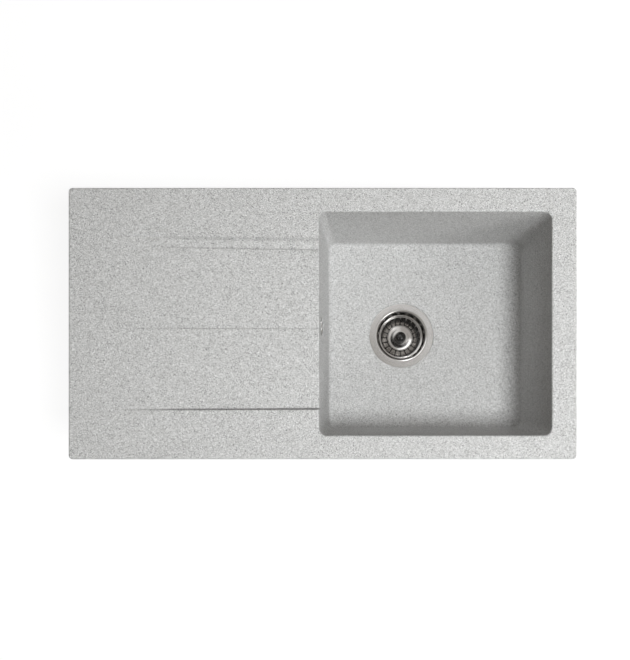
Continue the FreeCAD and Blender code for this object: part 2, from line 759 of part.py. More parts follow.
def make_basket():
    """The slotted basket with its dished foot, seal, washer, stem and ball knob."""
    rim = f"({floor_level} - basket_rim_drop)"
    foot = f"({floor_level} - basket_foot_drop)"
    inner = "(basket_radius - basket_rim_width)"
    rim_chamfer = "(basket_rim_bead / 3)"
    dish_edge = "(basket_foot_radius - 3 / 2 * basket_sheet)"
    basket = turned("strainer_basket", [
        (f"basket_radius - {rim_chamfer}", rim),
        (f"{inner} + {rim_chamfer}", rim),
        (inner, f"{rim} - {rim_chamfer}"),
        ("basket_foot_radius", foot),
        (dish_edge, f"{foot} + basket_sheet"),
        (f"{dish_edge} - basket_sheet", f"{foot} + basket_sheet"),
        ("dish_landing", f"{foot} - basket_dish"),
        ("stem_radius + close_fit", f"{foot} - basket_dish"),
        ("stem_radius + close_fit", f"{foot} - basket_dish - basket_sheet"),
        (dish_edge, f"{foot} - basket_dish - basket_sheet"),
        ("basket_foot_radius + basket_sheet", f"{foot} - basket_sheet"),
        (f"{inner} + basket_sheet", f"{rim} - basket_rim_bead"),
        ("basket_radius", f"{rim} - basket_rim_bead"),
        ("basket_radius", f"{rim} - {rim_chamfer}"),
    ])

    def slot(sketch):
        rectangle(sketch, "basket_foot_radius + slot_end", f"{inner} - slot_end",
                  "-slot_width / 2", "slot_width / 2")
    slot_cut = vertical_cut(basket, "slot", rim, "basket_foot_drop", False, slot)
    polar(basket, [slot_cut], "slot_count", "slots")

    under = f"({foot} - basket_dish - basket_sheet)"
    seat = f"({seat_level} + cup_sheet)"
    ring_height = f"({under} - {seat})"
    turned("basket_seal", [
        ("seal_ring_bore", under),
        ("seal_ring_bore", seat),
        ("seal_ring_radius", seat),
        ("seal_ring_radius - seal_ring_bevel", f"{seat} + {ring_height} / 2"),
        ("basket_foot_radius", under),
    ])
    turned("seal_washer", [
        ("stem_radius + close_fit", under),
        ("stem_radius + close_fit", f"{under} - washer_height"),
        ("seal_ring_bore - close_fit", f"{under} - washer_height"),
        ("seal_ring_bore - close_fit", under),
    ])
    neck_foot = f"({under} - washer_height)"
    knob_centre = f"({floor_level} - knob_centre_drop)"
    turned("basket_stem", [
        ("0", f"{neck_foot} - stem_tip_length"),
        ("stem_tip_radius", f"{neck_foot} - stem_tip_length"),
        ("stem_tip_radius", f"{neck_foot} - stem_flange_height"),
        ("stem_radius + stem_flange", f"{neck_foot} - stem_flange_height"),
        ("stem_radius + stem_flange", neck_foot),
        ("stem_radius", neck_foot),
        ("stem_radius", knob_centre),
        ("0", knob_centre),
    ])
    collar_foot = f"({foot} - basket_dish + close_fit)"
    knob_top = f"({knob_centre} + knob_band / 2 + knob_crown)"
    turned("basket_knob", [
        ("0", f"{knob_centre} + close_fit"),
        ("stem_radius + close_fit", f"{knob_centre} + close_fit"),
        ("stem_radius + close_fit", collar_foot),
        ("knob_collar_radius", collar_foot),
        ("knob_collar_radius", f"{knob_centre} - knob_band / 2"),
        ("knob_radius", f"{knob_centre} - knob_band / 2"),
        ("knob_radius", f"{knob_centre} + knob_band / 2"),
        ("knob_crown_radius", knob_top),
        ("0", knob_top),
    ])


def make_overflow():
    """The cover on the bowl wall, its screw and gasket, and the elbow and rigid pipe behind."""
    rosette = turned("overflow_rosette", [
        ("overflow_screw_radius + close_fit", "0"),
        ("rosette_radius", "0"),
        ("rosette_radius", "rosette_height"),
        ("overflow_head_radius + close_fit", "rosette_height"),
        ("overflow_head_radius + close_fit", "rosette_height - overflow_head_height"),
        ("overflow_screw_radius + close_fit", "rosette_height - overflow_head_height"),
    ], x=None)
    hole = vertical_cut(rosette, "rosette_hole", "-overshoot", "rosette_height + 2 * overshoot", True,
                        circles_at([("rosette_hole_circle", "0")], "rosette_hole_radius"))
    polar(rosette, [hole], "rosette_hole_count", "rosette_holes")
    on_wall(rosette)
    on_wall(turned("overflow_screw", [
        ("0", "rosette_height - overflow_screw_length"),
        ("overflow_screw_radius", "rosette_height - overflow_screw_length"),
        ("overflow_screw_radius", "rosette_height - overflow_head_height"),
        ("overflow_head_radius", "rosette_height - overflow_head_height"),
        ("overflow_head_radius", "rosette_height"),
        ("0", "rosette_height"),
    ], x=None))
    gasket_top = "(-bowl_wall)"
    gasket_foot = f"({gasket_top} - overflow_gasket_height)"
    on_wall(ring("overflow_gasket", "overflow_hole_radius + gasket_inset",
                 "elbow_flange_radius - gasket_inset", gasket_foot, "overflow_gasket_height", x=None))
    make_elbow(gasket_foot)
    make_pipe()


def make_elbow(flange_top):
    """A flange and barrel square to the wall, with a plumb socket below and a boss for the screw."""
    outer = f"({socket_radius} + socket_wall)"
    back = f"(-{elbow_back} - {outer})"
    flange = on_wall(ring("elbow_flange", socket_radius, "elbow_flange_radius",
                          f"({flange_top} - elbow_flange_height)", "elbow_flange_height", x=None))
    parts.remove(flange)
    barrel = on_wall(turned("elbow_barrel", [
        ("0", back),
        (outer, back),
        (outer, flange_top),
        (socket_radius, flange_top),
        (socket_radius, f"{back} + socket_wall"),
        ("elbow_boss_radius", f"{back} + socket_wall"),
        ("elbow_boss_radius", flange_top),
        ("overflow_screw_radius + close_fit", flange_top),
        ("overflow_screw_radius + close_fit", f"{back} + socket_wall"),
        ("0", f"{back} + socket_wall"),
    ], x=None))
    parts.remove(barrel)
    down = cylinder("elbow_down", outer, f"elbow_drop - {socket_radius}", pipe_x, elbow_mouth)
    bore = cylinder("elbow_bore", socket_radius, "elbow_drop - elbow_boss_radius - socket_wall", pipe_x,
                    elbow_mouth)
    hollow = on_wall(ring("elbow_hollow", "elbow_boss_radius", socket_radius, f"{back} + socket_wall",
                          f"(0 - {back} - socket_wall - bowl_wall)", x=None))
    parts.remove(hollow)
    solid = combine("Fuse", "elbow_solid", flange, barrel, down)
    way = combine("Fuse", "elbow_way", bore, hollow)
    part(combine("Cut", "overflow_elbow", solid, way), "overflow_elbow")
    doc.recompute()


def make_pipe():
    """The rigid pipe: plumb from the elbow's socket, two mitred bends, then level to the waste's branch."""
    body = new_body("overflow_pipe")
    pipe_top = f"({elbow_mouth} + pipe_insertion)"
    pipe_end = f"({waste_x} - branch_length + pipe_insertion)"
    route = new_sketch(body, "pipe_route", "XZ_Plane")
    corners = [(pipe_x, pipe_top), (pipe_x, f"{branch_level} + pipe_bend"),
               (f"{pipe_x} + pipe_bend", branch_level), (pipe_end, branch_level)]
    places = [Vector(value(x), value(z), 0) for x, z in corners]
    for edge, (start, end) in enumerate(zip(places, places[1:])):
        route.addGeometry(Part.LineSegment(start, end), False)
        pin_point(route, edge, 1, *corners[edge])
        pin_point(route, edge, 2, *corners[edge + 1])
    section = new_sketch(body, "pipe_section", level=pipe_top)
    circle(section, pipe_x, "0", "pipe_radius")
    circle(section, pipe_x, "0", "pipe_radius - pipe_wall")
    doc.recompute()
    pipe = body.newObject("PartDesign::AdditivePipe", "pipe_sweep")
    pipe.Profile = section
    pipe.Spine = (route, ["Edge1", "Edge2", "Edge3"])
    pipe.Transition = "Right corner"
    doc.recompute()
    part(body, "overflow_pipe")


def make_slip_joints():
    """Where the pipe enters a socket: a fluted nut over a sealing ring, one pair above and one below."""
    pairs = [slip_pair("upper", pipe_x, elbow_mouth, 0),
             slip_pair("lower", f"({waste_x} - branch_length)", branch_level, 90)]
    for label, pieces in zip(("slip_nuts", "sealing_rings"), zip(*pairs)):
        group = doc.addObject("Part::Compound", label)
        group.Links = list(pieces)
        part(group, label)


def slip_pair(prefix, x, z, turn):
    """A slip nut and a sealing ring at a socket's mouth; their own Z points into the socket."""
    bore = f"({socket_radius} + socket_wall + close_fit)"
    outer = f"({bore} + slip_nut_wall)"
    ring_foot = "(-sealing_ring_height - close_fit)"
    nut_foot = f"({ring_foot} - body_wall)"
    nut = turned(f"{prefix}_slip_nut", [
        (socket_radius, nut_foot),
        (outer, nut_foot),
        (outer, f"{nut_foot} + slip_nut_length"),
        (bore, f"{nut_foot} + slip_nut_length"),
        (bore, ring_foot),
        (socket_radius, ring_foot),
    ], x=None)
    flute = vertical_cut(nut, f"{prefix}_flute", f"{nut_foot} - overshoot",
                         "slip_nut_length + 2 * overshoot", True,
                         circles_at([(f"{outer} + flute_radius / 2", "0")], "flute_radius"))
    polar(nut, [flute], "slip_nut_flutes", f"{prefix}_flutes")
    seal = ring(f"{prefix}_sealing_ring", "pipe_radius + close_fit", f"{bore} - 2 * close_fit",
                "(-sealing_ring_height)", "(sealing_ring_height - close_fit)", x=None)
    for thing in (nut, seal):
        thing.Placement = Placement(Vector(), Rotation(Vector(0, 1, 0), turn))
        drive(thing, Placement__Base__x=x, Placement__Base__z=z)
        parts.remove(thing)
    return nut, seal


def make_clamps():
    """The dowels and screws of all the clamps, and one swivelling steel arm for each."""
    places = [(x, y) for _, x, y, _ in clamp_places()]
    dowels = new_body("screw_dowels")

    def tubes(sketch):
        for x, y in places:
            circle(sketch, x, y, "dowel_radius")
            circle(sketch, x, y, "clamp_screw_radius + close_fit")
    vertical_pad(dowels, "dowel_tubes", "-boss_height", "dowel_length", True, tubes)
    part(dowels, "screw_dowels")

    screws = new_body("clamp_screws")
    vertical_pad(screws, "screw_shanks", clamp_level, f"(0 - {clamp_level} - clamp_screw_tip)", True,
                 circles_at(places, "clamp_screw_radius"))
    vertical_pad(screws, "screw_heads", clamp_level, "screw_head_height", False,
                 circles_at(places, "screw_head_radius"))
    part(screws, "clamp_screws")
    for name, x, y, angle in clamp_places():
        make_clamp_arm(name, x, y, angle)


def make_clamp_arm(name, x, y, angle):
    """A bent strip: its heel bears on the boss and its tip lies under the worktop."""
    arm = new_body(name)
    profile = new_sketch(arm, f"{name}_profile", "XZ_Plane")
    ramp = "screw_head_radius + clamp_head_room"
    tip_foot = f"{clamp_level} + clamp_rise"
    plate_top = f"{clamp_level} + clamp_sheet"
    heel_top = "(0 - boss_height - loose_fit)"
    outline(profile, [
        ("-clamp_heel", clamp_level),
        (ramp, clamp_level),
        ("clamp_reach - clamp_tip", tip_foot),
        ("clamp_reach", tip_foot),
        ("clamp_reach", f"{tip_foot} + clamp_sheet"),
        ("clamp_reach - clamp_tip", f"{tip_foot} + clamp_sheet"),
        (f"{ramp} - clamp_sheet / 2", plate_top),
        ("clamp_sheet - clamp_heel", plate_top),
        ("clamp_sheet - clamp_heel", heel_top),
        ("-clamp_heel", heel_top),
    ])
    strip = arm.newObject("PartDesign::Pad", f"{name}_strip")
    strip.Profile = profile
    strip.Midplane = True
    drive(strip, Length="clamp_width")
    doc.recompute()
    dress_edges(arm, "Chamfer", f"{name}_corners", "clamp_sheet", lambda edge: (
        close_to(edge.BoundBox.ZLength, "clamp_sheet") and close_to(edge.BoundBox.XMin, "clamp_reach")))
    vertical_cut(arm, f"{name}_hole", f"{clamp_level} - overshoot", "clamp_sheet + 2 * overshoot", True,
                 circles_at([("0", "0")], "clamp_screw_radius + close_fit"))
    arm.Placement = Placement(Vector(), Rotation(Vector(0, 0, 1), angle))
    drive(arm, Placement__Base__x=x, Placement__Base__y=y)
    part(arm, name)


make_sink_body()
make_rim_seal()
make_strainer_bowl()
ring("flange_gasket", "flange_radius - gasket_inset - gasket_width", "flange_radius - gasket_inset",
     f"({floor_level} - {recess_depth})", "flange_gasket_height")
ring("floor_gasket", f"{drain_hole_radius} + gasket_inset / 2", body_flange_radius, body_top,
     "floor_gasket_height")
make_waste_body()
make_centre_screw()
make_basket()
make_overflow()
make_slip_joints()
make_clamps()
doc.recompute()

for thing in doc.Objects:
    if "Invalid" in thing.State or "Error" in thing.State:
        raise RuntimeError(f"{thing.Name} did not compute: {thing.getStatusString()}")
for thing in parts:
    if thing.Shape.isNull() or not thing.Shape.isValid() or thing.Shape.Volume <= 0:
        raise RuntimeError(f"{thing.Label} is not a valid solid")

os.makedirs("parts", exist_ok=True)
for thing in parts:
    thing.Shape.exportStep(f"parts/{thing.Label}.step")
    print(f"{thing.Label}: {len(thing.Shape.Solids)} solid, {thing.Shape.Volume / 1000:.1f} cm3")
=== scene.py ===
# Kitchen sink with drainboard: finishes, detailed waste and overflow pieces, studio and camera.
import bmesh
import bpy
import json
import math
from mathutils import Matrix, Vector


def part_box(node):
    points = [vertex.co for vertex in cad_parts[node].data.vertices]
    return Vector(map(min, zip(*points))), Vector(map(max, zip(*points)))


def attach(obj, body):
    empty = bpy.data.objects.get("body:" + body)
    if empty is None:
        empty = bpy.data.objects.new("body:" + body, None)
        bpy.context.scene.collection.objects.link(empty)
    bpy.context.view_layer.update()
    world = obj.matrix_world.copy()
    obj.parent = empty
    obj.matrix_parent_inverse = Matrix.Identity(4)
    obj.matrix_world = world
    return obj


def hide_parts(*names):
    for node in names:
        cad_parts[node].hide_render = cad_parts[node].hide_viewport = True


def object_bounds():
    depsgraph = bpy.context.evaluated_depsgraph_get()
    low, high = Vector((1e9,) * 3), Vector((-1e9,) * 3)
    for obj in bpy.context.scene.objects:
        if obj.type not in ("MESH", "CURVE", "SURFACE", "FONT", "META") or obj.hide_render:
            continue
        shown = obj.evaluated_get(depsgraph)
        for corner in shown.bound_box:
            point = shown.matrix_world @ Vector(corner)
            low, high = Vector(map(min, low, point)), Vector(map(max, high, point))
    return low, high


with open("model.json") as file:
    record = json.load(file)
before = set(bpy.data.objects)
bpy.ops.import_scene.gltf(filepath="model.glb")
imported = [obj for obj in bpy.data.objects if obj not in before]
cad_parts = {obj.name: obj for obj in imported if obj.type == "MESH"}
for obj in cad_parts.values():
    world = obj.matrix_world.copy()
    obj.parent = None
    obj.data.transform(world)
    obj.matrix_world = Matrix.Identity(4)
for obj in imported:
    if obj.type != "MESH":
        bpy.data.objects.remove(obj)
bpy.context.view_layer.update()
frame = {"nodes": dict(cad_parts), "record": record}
nodes = frame["nodes"]
slotOf = {part["node"]: part["material_slot"] for part in frame["record"]["subparts"]}
scene = bpy.context.scene
print("frame loaded,", len(nodes), "nodes")

mm = 0.001
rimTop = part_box("sink_body")[1].z
wasteLow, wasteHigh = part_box("strainer_bowl")
wasteAxis = (wasteLow + wasteHigh) / 2
floorPoint = Vector((wasteAxis.x, wasteAxis.y, wasteHigh.z))  # where the waste's axis meets the bowl floor


class Wire:
    # a socket's value, for sums and products in the shaders
    def __init__(self, tree, socket):
        self.tree = tree
        self.socket = socket

    def maths(self, operation, *others):
        return self.tree.add("ShaderNodeMath", {"operation": operation}, self, *others)["Value"]

    def __add__(self, other):
        return self.maths("ADD", other)

    def __sub__(self, other):
        return self.maths("SUBTRACT", other)

    def __rsub__(self, other):
        return self.tree.add("ShaderNodeMath", {"operation": "SUBTRACT"}, other, self)["Value"]

    def __mul__(self, other):
        return self.maths("MULTIPLY", other)

    def __pow__(self, other):
        return self.maths("POWER", other)

    __radd__ = __add__
    __rmul__ = __mul__

    def above(self, low, high):
        # 0 below low, 1 above high, smooth between
        return self.tree.add("ShaderNodeMapRange", {"interpolation_type": "SMOOTHSTEP"},
                             Value=self, **{"From Min": low, "From Max": high})["Result"]

    def between(self, low, high, soft):
        return self.above(low - soft, low + soft) * (1 - self.above(high - soft, high + soft))


class Tree:
    # the nodes of a material or of the world
    def __init__(self, owner):
        owner.use_nodes = True
        self.nodes = owner.node_tree.nodes
        self.links = owner.node_tree.links

    def plug(self, socket, value):
        if isinstance(value, Wire):
            self.links.new(value.socket, socket)
        else:
            socket.default_value = value

    def add(self, kind, settings=None, *ordered, **named):
        # sockets are filled in their order or by name; "stops" sets a colour ramp
        node = self.nodes.new(kind)
        for setting, value in (settings or {}).items():
            if setting == "stops":
                ramp = node.color_ramp
                while len(ramp.elements) < len(value):
                    ramp.elements.new(0.5)
                for element, (place, colour) in zip(ramp.elements, value):
                    element.position = place
                    element.color = (*colour, 1)
            else:
                setattr(node, setting, value)
        for socket, value in zip(node.inputs, ordered):
            self.plug(socket, value)
        for name, value in named.items():
            socket = next(s for s in node.inputs if s.name == name and s.enabled)
            self.plug(socket, value)
        return {s.name: Wire(self, s) for s in node.outputs if s.enabled}

    def mix(self, factor, first, second):
        return self.add("ShaderNodeMix", {"data_type": "RGBA"}, Factor=factor, A=first, B=second)["Result"]

    def split(self, vector):
        apart = self.add("ShaderNodeSeparateXYZ", None, Vector=vector)
        return apart["X"], apart["Y"], apart["Z"]


class Finish(Tree):
    # a material with one principled shader
    def __init__(self, name, **constants):
        self.material = bpy.data.materials.new(name)
        super().__init__(self.material)
        self.shader = self.nodes["Principled BSDF"]
        self.feed(**constants)

    def feed(self, **values):
        for name, value in values.items():
            self.plug(self.shader.inputs[name.replace("_", " ")], value)

    def place(self, centre=(0, 0, 0), scale=(1, 1, 1)):
        here = self.add("ShaderNodeTexCoord")["Object"]
        moved = self.add("ShaderNodeMapping", None, Vector=here, Location=[-c for c in centre])["Vector"]
        return self.add("ShaderNodeMapping", None, Vector=moved, Scale=scale)["Vector"]

    def noise(self, place, scale, detail=2.0, roughness=0.5):
        return self.add("ShaderNodeTexNoise", None, Vector=place, Scale=scale, Detail=detail,
                        Roughness=roughness)["Fac"]

    def bump(self, height, strength, distance):
        return self.add("ShaderNodeBump", None, Height=height, Strength=strength, Distance=distance)["Normal"]

    def radius(self, centre):
        # distance from the vertical axis through a point
        x, y, z = self.split(self.place(centre))
        return (x * x + y * y) ** 0.5


def grey(level, warm=0.0):
    return (level * (1 + warm), level, level * (1 - warm), 1)


def darker(colour, share):
    return (*[c * share for c in colour[:3]], 1)


# speckled stone composite: cells of under a millimetre, a few dark, most mid grey, some pale
stone = {"grain": 1350, "red": 1.004, "blue": 0.992, "specular": 0.35, "roughness": 0.55, "unevenness": 0.15,
         "cloud": 14.0, "cloudEdges": (0.2, 0.8), "cloudShare": 0.05, "cloudTone": grey(0.5, 0.01),
         "fine": 1500.0, "cellHeight": 0.5, "bumpStrength": 0.2, "bumpDepth": 0.0002,
         "tones": [(0.0, 0.09), (0.10, 0.14), (0.15, 0.465), (0.70, 0.545), (0.82, 0.75), (1.0, 0.82)]}
# painted shade along the drainer's steps, each with its y at the bowl, how far it fans out at the left end,
# its half width (all in m) and the share of tone darkened as painted shade; the fades are shares of the way
# from left to right
paintedStepShade = {"left": -0.341, "right": -0.0059, "fadeIn": (0.08, 0.45), "fadeOut": (1.0, 1.012),
                "deckFrom": (-0.012, -0.010), "softEdge": (0.6, 1.4),
                "lines": [(0.1292, 0.0029, 0.0024, 0.20), (0.1140, 0.0045, 0.0012, 0.20),
                          (-0.0075, 0.0, 0.0011, 0.19), (-0.1310, -0.0015, 0.0017, 0.42)]}


def stoneFinish():
    finish = Finish("stoneComposite", Specular_IOR_Level=stone["specular"])
    here = finish.place()
    grain = finish.add("ShaderNodeTexVoronoi", {"feature": "F1"}, Vector=here, Scale=stone["grain"])
    pick = finish.add("ShaderNodeSeparateColor", None, Color=grain["Color"])["Red"]
    tones = [(place, (level * stone["red"], level, level * stone["blue"])) for place, level in stone["tones"]]
    body = finish.add("ShaderNodeValToRGB", {"stops": tones}, Fac=pick)["Color"]
    cloud = finish.noise(here, stone["cloud"]).above(*stone["cloudEdges"])
    body = finish.mix(cloud * stone["cloudShare"], body, stone["cloudTone"])
    # painted shade: each step's foot is a little darker, on the drainer only and not on the bowl's wall
    x, y, z = finish.split(here)
    left, right = paintedStepShade["left"], paintedStepShade["right"]
    share = (x - left) * (1 / (right - left))
    onDeck = share.above(*paintedStepShade["fadeIn"]) * (1 - share.above(*paintedStepShade["fadeOut"]))
    onDeck = onDeck * z.above(*paintedStepShade["deckFrom"])
    for atBowl, fan, half, paintedShade in paintedStepShade["lines"]:
        away = (y - atBowl - (1 - share) * fan).maths("ABSOLUTE") * (1 / half)
        body = finish.mix(onDeck * (1 - away.above(*paintedStepShade["softEdge"])) * paintedShade, body, grey(0.0))
    fine = finish.noise(here, stone["fine"])
    surface = fine + grain["Distance"] * stone["cellHeight"]
    finish.feed(Base_Color=body, Roughness=stone["roughness"] + fine * stone["unevenness"],
                Normal=finish.bump(surface, stone["bumpStrength"], stone["bumpDepth"]))
    return finish.material


# turned steel has fine rings about its axis, sheet has faint level lines, and the gap round the basket's foot
# plate gets a painted shade tone
steel = {"rings": 2200.0, "lines": 420.0, "squeeze": (1, 1, 14), "detail": 3.0, "lineRoughness": 0.7,
         "smudge": 55.0, "smudgeEdges": (0.35, 0.75), "smudgeTone": 0.92, "polish": 0.10,
         "gapShadeShare": 0.93, "gapShadeTone": grey(0.02), "smudgeRoughness": 0.06, "streakRoughness": 0.05,
         "bumpDepth": 0.00004}


def steelFinish(name, colour, roughness, lines, centre=None, shadedGap=None, satinFrom=None):
    finish = Finish(name, Metallic=1.0)
    if centre:
        around = finish.radius(centre)
        ringPlace = finish.add("ShaderNodeCombineXYZ", None, X=around)["Vector"]
        streak = finish.noise(ringPlace, steel["rings"], steel["detail"], steel["lineRoughness"])
    else:
        sheetPlace = finish.place(scale=steel["squeeze"])
        streak = finish.noise(sheetPlace, steel["lines"], steel["detail"], steel["lineRoughness"])
    smudge = finish.noise(finish.place(), steel["smudge"], steel["detail"])
    tone = finish.mix(smudge.above(*steel["smudgeEdges"]), colour, darker(colour, steel["smudgeTone"]))
    if shadedGap:
        # painted shade: the gap round the basket's foot plate is toned dark as if shadowed
        tone = finish.mix(around.between(*shadedGap) * steel["gapShadeShare"], tone, steel["gapShadeTone"])
    if satinFrom:
        # a satin ring outside, polished inside
        roughness = steel["polish"] + around.above(*satinFrom) * (roughness - steel["polish"])
    worn = roughness + smudge * steel["smudgeRoughness"] + streak * steel["streakRoughness"]
    finish.feed(Base_Color=tone, Roughness=worn, Normal=finish.bump(streak, lines, steel["bumpDepth"]))
    return finish.material


# rubber, foam and moulded plastic
plain = {"detail": 3.0, "cloud": 30.0, "cloudEdges": (0.3, 0.8), "cloudShare": 0.5, "cloudTone": 0.88,
         "unevenness": 0.12, "bumpStrength": 0.3}


def plainFinish(name, colour, roughness, grain, depth, specular=0.5):
    finish = Finish(name, Specular_IOR_Level=specular)
    here = finish.place()
    fine = finish.noise(here, grain, plain["detail"])
    cloud = finish.noise(here, plain["cloud"]).above(*plain["cloudEdges"])
    tone = finish.mix(cloud * plain["cloudShare"], colour, darker(colour, plain["cloudTone"]))
    finish.feed(Base_Color=tone, Roughness=roughness + fine * plain["unevenness"],
                Normal=finish.bump(fine, plain["bumpStrength"], depth))
    return finish.material


finishes = {
    "composite": stoneFinish(),
    "foam_rubber": plainFinish("foamStrip", grey(0.10), 0.85, 900.0, 0.0004, specular=0.2),
    "satin_steel": steelFinish("satinSteel", grey(0.66, 0.02), 0.20, 0.08, centre=wasteAxis,
                               satinFrom=(46.0 * mm, 47.5 * mm)),
    "polished_steel": steelFinish("polishedSteel", grey(0.74, 0.02), 0.09, 0.04, centre=wasteAxis,
                                  shadedGap=(23.3 * mm, 24.5 * mm, 0.25 * mm)),
    "bright_steel": steelFinish("brightSteel", grey(0.70, 0.01), 0.16, 0.05, centre=wasteAxis),
    "zinc_steel": steelFinish("zincSteel", (0.62, 0.64, 0.66, 1), 0.32, 0.08),
    "chrome": steelFinish("chromePlate", grey(0.80), 0.06, 0.02),
    "brass": steelFinish("turnedBrass", (0.78, 0.58, 0.28, 1), 0.22, 0.08, centre=wasteAxis),
    "black_rubber": plainFinish("blackRubber", grey(0.035), 0.62, 700.0, 0.0002, specular=0.35),
    "white_plastic": plainFinish("whitePlastic", grey(0.78, 0.005), 0.38, 1500.0, 0.00008),
    "grey_plastic": plainFinish("greyNylon", grey(0.30, -0.01), 0.45, 1200.0, 0.0001),
}
print("finishes made")


def shade(piece, material, sharpFrom):
    # one material, smooth faces, edges sharper than an angle kept sharp
    piece.data.materials.clear()
    piece.data.materials.append(material)
    for face in piece.data.polygons:
        face.use_smooth = True
    piece.modifiers.new("sharpEdges", "EDGE_SPLIT").split_angle = math.radians(sharpFrom)
    piece.modifiers.new("flatFaces", "WEIGHTED_NORMAL").mode = "FACE_AREA"


for name, node in nodes.items():
    node.modifiers.new("weld", "WELD").merge_threshold = 0.002 * mm
    shade(node, finishes[slotOf[name]], 28)
print("nodes dressed")


def lathe(mesh, profile, steps):
    # adds corners (radius, height, round-off) in mm to the mesh, spun about the z axis
    corners = [mesh.verts.new((radius * mm, 0, height * mm)) for radius, height, roundOff in profile]
    for start, end in zip(corners, corners[1:]):
        mesh.edges.new((start, end))
    for corner, (radius, height, roundOff) in zip(corners, profile):
        if roundOff:
            bmesh.ops.bevel(mesh, geom=[corner], offset=roundOff * mm, offset_type="OFFSET", segments=4,
                            profile=0.5, affect="VERTICES", material=-1)
    loose = [edge for edge in mesh.edges if edge.is_wire]
    ends = {vert for edge in loose for vert in edge.verts}
    bmesh.ops.spin(mesh, geom=[*ends, *loose], cent=(0, 0, 0), axis=(0, 0, 1), angle=math.tau,
                   steps=steps, use_merge=True)
    bmesh.ops.remove_doubles(mesh, verts=mesh.verts, dist=0.001 * mm)


def holedPlate(mesh, piece, height):
    # fills the level between the turned edges at a height, round a ring of holes
    for index in range(piece["holes"]):
        turn = Matrix.Rotation(math.tau * index / piece["holes"], 4, "Z")
        outward = Matrix.Translation((piece["holeCircle"] * mm, 0, height * mm))
        bmesh.ops.create_circle(mesh, cap_ends=False, segments=piece["holeSteps"],
                                radius=piece["hole"] * mm, matrix=turn @ outward)
    rims = [edge for edge in mesh.edges if len(edge.link_faces) < 2
            and all(abs(vert.co.z - height * mm) < 0.01 * mm for vert in edge.verts)]
    bmesh.ops.triangle_fill(mesh, use_beauty=True, use_dissolve=False, edges=rims)


def bodyOf(node):
    return next(name for name, held in frame["record"]["behaviour"]["bodies"].items() if node in held)


def finishPiece(mesh, name, node, material, sheet=0.0, place=None):
    # faces outwards, or up for a sheet, then the place in the mesh and the sheet's thickness as a modifier
    bmesh.ops.recalc_face_normals(mesh, faces=mesh.faces)
    lift = sum(face.normal.z * face.calc_area() for face in mesh.faces)
    if sheet and lift < 0:
        bmesh.ops.reverse_faces(mesh, faces=mesh.faces)
    bmesh.ops.transform(mesh, matrix=place or Matrix.Translation(floorPoint), verts=mesh.verts)
    data = bpy.data.meshes.new(name)
    mesh.to_mesh(data)
    mesh.free()
    piece = bpy.data.objects.new(name, data)
    scene.collection.objects.link(piece)
    if sheet:
        wall = piece.modifiers.new("wall", "SOLIDIFY")
        wall.thickness = sheet * mm
        wall.offset = -1
    shade(piece, material, 40)
    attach(piece, bodyOf(node))
    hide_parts(node)


# pressed cup, in mm from the bowl floor: flange with a turned-down edge, rolled mouth, straight wall,
# holed seat and well
cup = {"sheet": 1.0, "steps": 144, "flange": 56.5, "edge": 0.8, "lip": 0.45, "lipRound": 0.2,
       "shoulder": 55.3, "shoulderDrop": 0.35, "shoulderRound": 0.5, "flat": 48.0, "flatRound": 1.5,
       "bore": 42.0, "roll": 3.2, "seat": -45.0, "seatRound": 2.5, "seatRing": 39.0,
       "well": 9.0, "wellLip": 11.0, "wellRound": 1.2, "wellFoot": -57.0, "wellFootRound": 1.5,
       "screw": 3.05, "wellSteps": 48, "holes": 6, "hole": 5.5, "holeCircle": 22.0, "holeSteps": 32}

mesh = bmesh.new()
lathe(mesh, [(cup["flange"], -cup["edge"], 0),
             (cup["flange"], -cup["lip"], cup["lipRound"]),
             (cup["shoulder"], -cup["shoulderDrop"], cup["shoulderRound"]),
             (cup["flat"], 0, cup["flatRound"]),
             (cup["bore"], 0, cup["roll"]),
             (cup["bore"], cup["seat"], cup["seatRound"]),
             (cup["seatRing"], cup["seat"], 0)], cup["steps"])
lathe(mesh, [(cup["wellLip"], cup["seat"], 0),
             (cup["well"], cup["seat"], cup["wellRound"]),
             (cup["well"], cup["wellFoot"], cup["wellFootRound"]),
             (cup["screw"], cup["wellFoot"], 0)], cup["wellSteps"])
holedPlate(mesh, cup, cup["seat"])
finishPiece(mesh, "strainerCup", "strainer_bowl", finishes["satin_steel"], cup["sheet"])
print("cup made")

# basket: rolled rim, upright collar, slotted cone, shadow gap and dished plate with a raised rim
basket = {"sheet": 0.8, "rim": 39.4, "top": -17.0, "rimFoot": -19.2, "rimRound": 1.2, "inner": 36.8,
          "collar": 36.5, "collarFoot": -24.3, "step": 35.9, "crease": 0.3,
          "coneTop": 35.2, "coneTopLevel": -25.0, "coneFoot": 25.2, "coneFootLevel": -36.7,
          "gapOuter": 24.3, "gapOuterLevel": -38.2, "gapInner": 23.7, "gapInnerLevel": -38.9,
          "plate": 23.2, "plateLevel": -37.4, "crest": 22.5, "crestLevel": -36.9, "crestRound": 0.4,
          "dish": 21.6, "dishLevel": -38.5, "landing": 13.5, "landingLevel": -40.3, "landingRound": 2.0,
          "stem": 4.05, "dishFoot": -40.6, "slots": 20, "columns": 8, "coneCuts": 15, "slot": 0.65,
          "innerEnd": 23.9, "innerMiddle": 25.1, "innerRound": 1.3,
          "outerEnd": 35.2, "outerMiddle": 34.4, "outerRound": 0.95}

